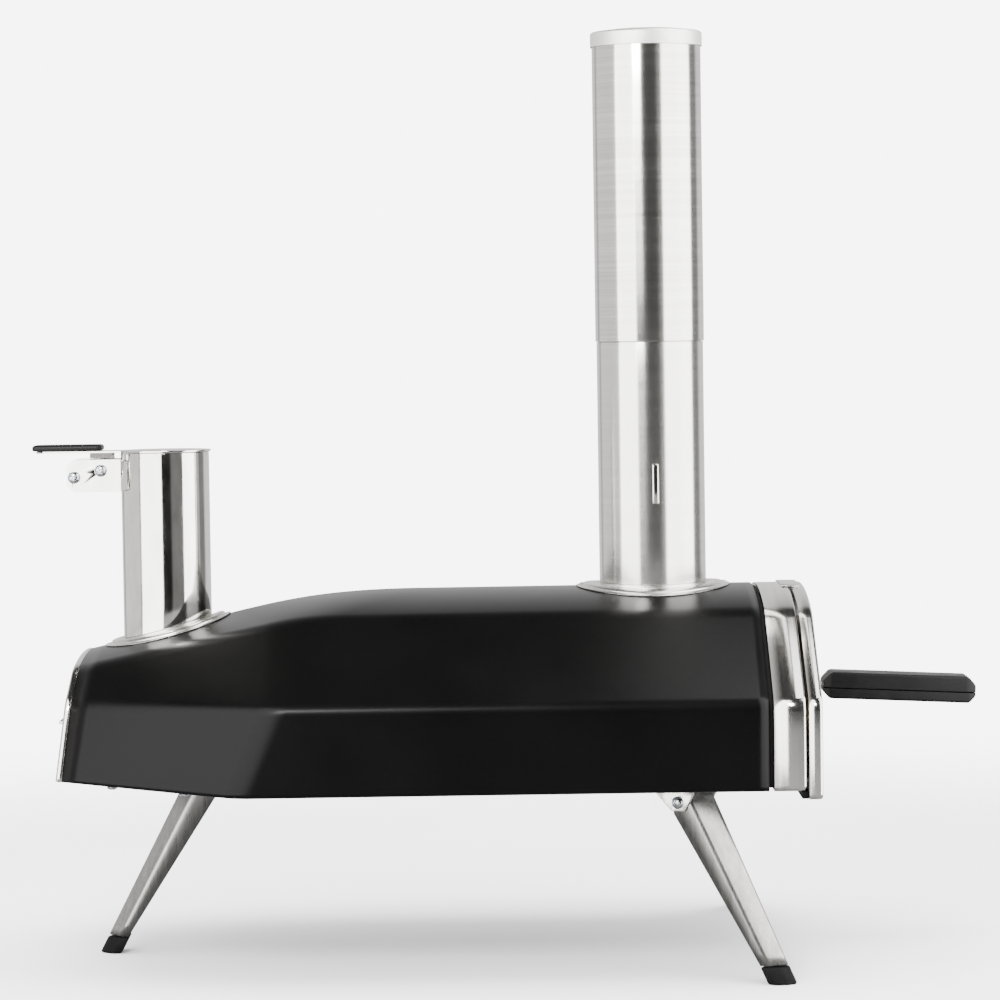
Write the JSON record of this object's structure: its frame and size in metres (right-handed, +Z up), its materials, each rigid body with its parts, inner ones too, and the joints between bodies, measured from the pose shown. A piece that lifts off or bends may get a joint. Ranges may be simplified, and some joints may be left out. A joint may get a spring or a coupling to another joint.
{
  "type": "wood fired pizza oven",
  "caption": "Low tapered steel pizza oven on folding legs, with a lift-off front door, a rear fuel hopper and a tall round chimney.",
  "frame": {"origin": "on the surface that the feet stand on, under the middle of the overall box", "axes": "+X points out of the oven mouth toward the door, +Y is the left side seen from behind the oven looking to the door, +Z is up"},
  "size_m": [0.7512, 0.4052, 0.7331],
  "materials": {
    "satin_black_powder_coat": "satin",
    "brushed_stainless": "satin",
    "polished_stainless": "polished",
    "heat_stained_stainless": "satin",
    "galvanised_steel": "matte",
    "cordierite": "matte",
    "ceramic_fibre": "matte",
    "black_nylon": "satin",
    "black_rubber": "matte",
    "zinc_plated_steel": "satin"
  },
  "bodies": {
    "oven": {"body_shell": "satin_black_powder_coat", "base_pan": "galvanised_steel", "inner_liner": "heat_stained_stainless", "insulation_blanket": "ceramic_fibre", "inner_floor": "heat_stained_stainless", "stone_rail_left": "heat_stained_stainless", "stone_rail_right": "heat_stained_stainless", "baking_stone": "cordierite", "flame_guard": "heat_stained_stainless", "front_ring": "black_rubber", "front_fascia": "brushed_stainless", "door_sill_strip": "black_rubber", "rear_panel": "brushed_stainless", "hopper_collar": "polished_stainless", "fuel_chute": "heat_stained_stainless", "chimney_collar": "polished_stainless", "chimney_rivet_front": "zinc_plated_steel", "chimney_rivet_rear": "zinc_plated_steel", "leg_bracket_rear": "brushed_stainless", "leg_bracket_front_left": "brushed_stainless", "leg_bracket_front_right": "brushed_stainless", "leg_pin_rear": "zinc_plated_steel", "leg_pin_front_left": "zinc_plated_steel", "leg_pin_front_right": "zinc_plated_steel", "base_screw_rear_left": "zinc_plated_steel", "base_screw_rear_right": "zinc_plated_steel", "base_screw_middle_left": "zinc_plated_steel", "base_screw_middle_right": "zinc_plated_steel"},
    "burner_drawer": {"burner_tray": "heat_stained_stainless", "burner_face": "brushed_stainless", "burner_grate": "heat_stained_stainless"},
    "hopper": {"hopper_tube": "polished_stainless", "hopper_hinge_left": "brushed_stainless", "hopper_hinge_right": "brushed_stainless", "lid_pivot_screw": "zinc_plated_steel", "lid_stop_screw": "zinc_plated_steel"},
    "hopper_lid_body": {"hopper_lid": "polished_stainless", "lid_pad": "black_nylon"},
    "chimney_base": {"chimney_lower": "brushed_stainless", "chimney_coupling": "brushed_stainless", "chimney_lug": "polished_stainless"},
    "chimney_top": {"chimney_upper": "brushed_stainless"},
    "cap": {"chimney_cap": "polished_stainless"},
    "door": {"door_outer": "brushed_stainless", "door_inner": "heat_stained_stainless", "door_insulation": "ceramic_fibre", "door_hook": "brushed_stainless", "handle_tang": "brushed_stainless", "handle_upper": "black_nylon", "handle_lower": "black_nylon", "handle_bolt_upper": "zinc_plated_steel", "handle_bolt_lower": "zinc_plated_steel"},
    "leg_rear_body": {"leg_rear": "brushed_stainless", "foot_rear": "black_rubber"},
    "leg_front_left_body": {"leg_front_left": "brushed_stainless", "foot_front_left": "black_rubber"},
    "leg_front_right_body": {"leg_front_right": "brushed_stainless", "foot_front_right": "black_rubber"}
  },
  "joints": [
    {"name": "door_pull", "type": "slide", "parent": "oven", "child": "door", "axis": [1, 0, 0], "range_m": [0, 0.15]},
    {"name": "burner_pull", "type": "slide", "parent": "oven", "child": "burner_drawer", "axis": [-1, 0, 0], "range_m": [0, 0.12]},
    {"name": "hopper_lift", "type": "slide", "parent": "oven", "child": "hopper", "axis": [0, 0, 1], "range_m": [0, 0.06]},
    {"name": "lid_hinge", "type": "hinge", "parent": "hopper", "child": "hopper_lid_body", "pos_m": [-0.3207, 0, 0.3877], "axis": [0, -1, 0], "range_deg": [0, 45]},
    {"name": "chimney_lift", "type": "slide", "parent": "oven", "child": "chimney_base", "axis": [0, 0, 1], "range_m": [0, 0.06]},
    {"name": "upper_tube_lift", "type": "slide", "parent": "chimney_base", "child": "chimney_top", "axis": [0, 0, 1], "range_m": [0, 0.06]},
    {"name": "cap_lift", "type": "slide", "parent": "chimney_top", "child": "cap", "axis": [0, 0, 1], "range_m": [0, 0.04]},
    {"name": "leg_fold_rear", "type": "hinge", "parent": "oven", "child": "leg_rear_body", "pos_m": [-0.2385, 0, 0.134], "axis": [0, -1, 0], "range_deg": [0, 112]},
    {"name": "leg_fold_front_left", "type": "hinge", "parent": "oven", "child": "leg_front_left_body", "pos_m": [0.139, 0.147, 0.134], "axis": [-0.5592, 0.829, 0], "range_deg": [0, 112]},
    {"name": "leg_fold_front_right", "type": "hinge", "parent": "oven", "child": "leg_front_right_body", "pos_m": [0.139, -0.147, 0.134], "axis": [0.5592, 0.829, 0], "range_deg": [0, 112]}
  ]
}
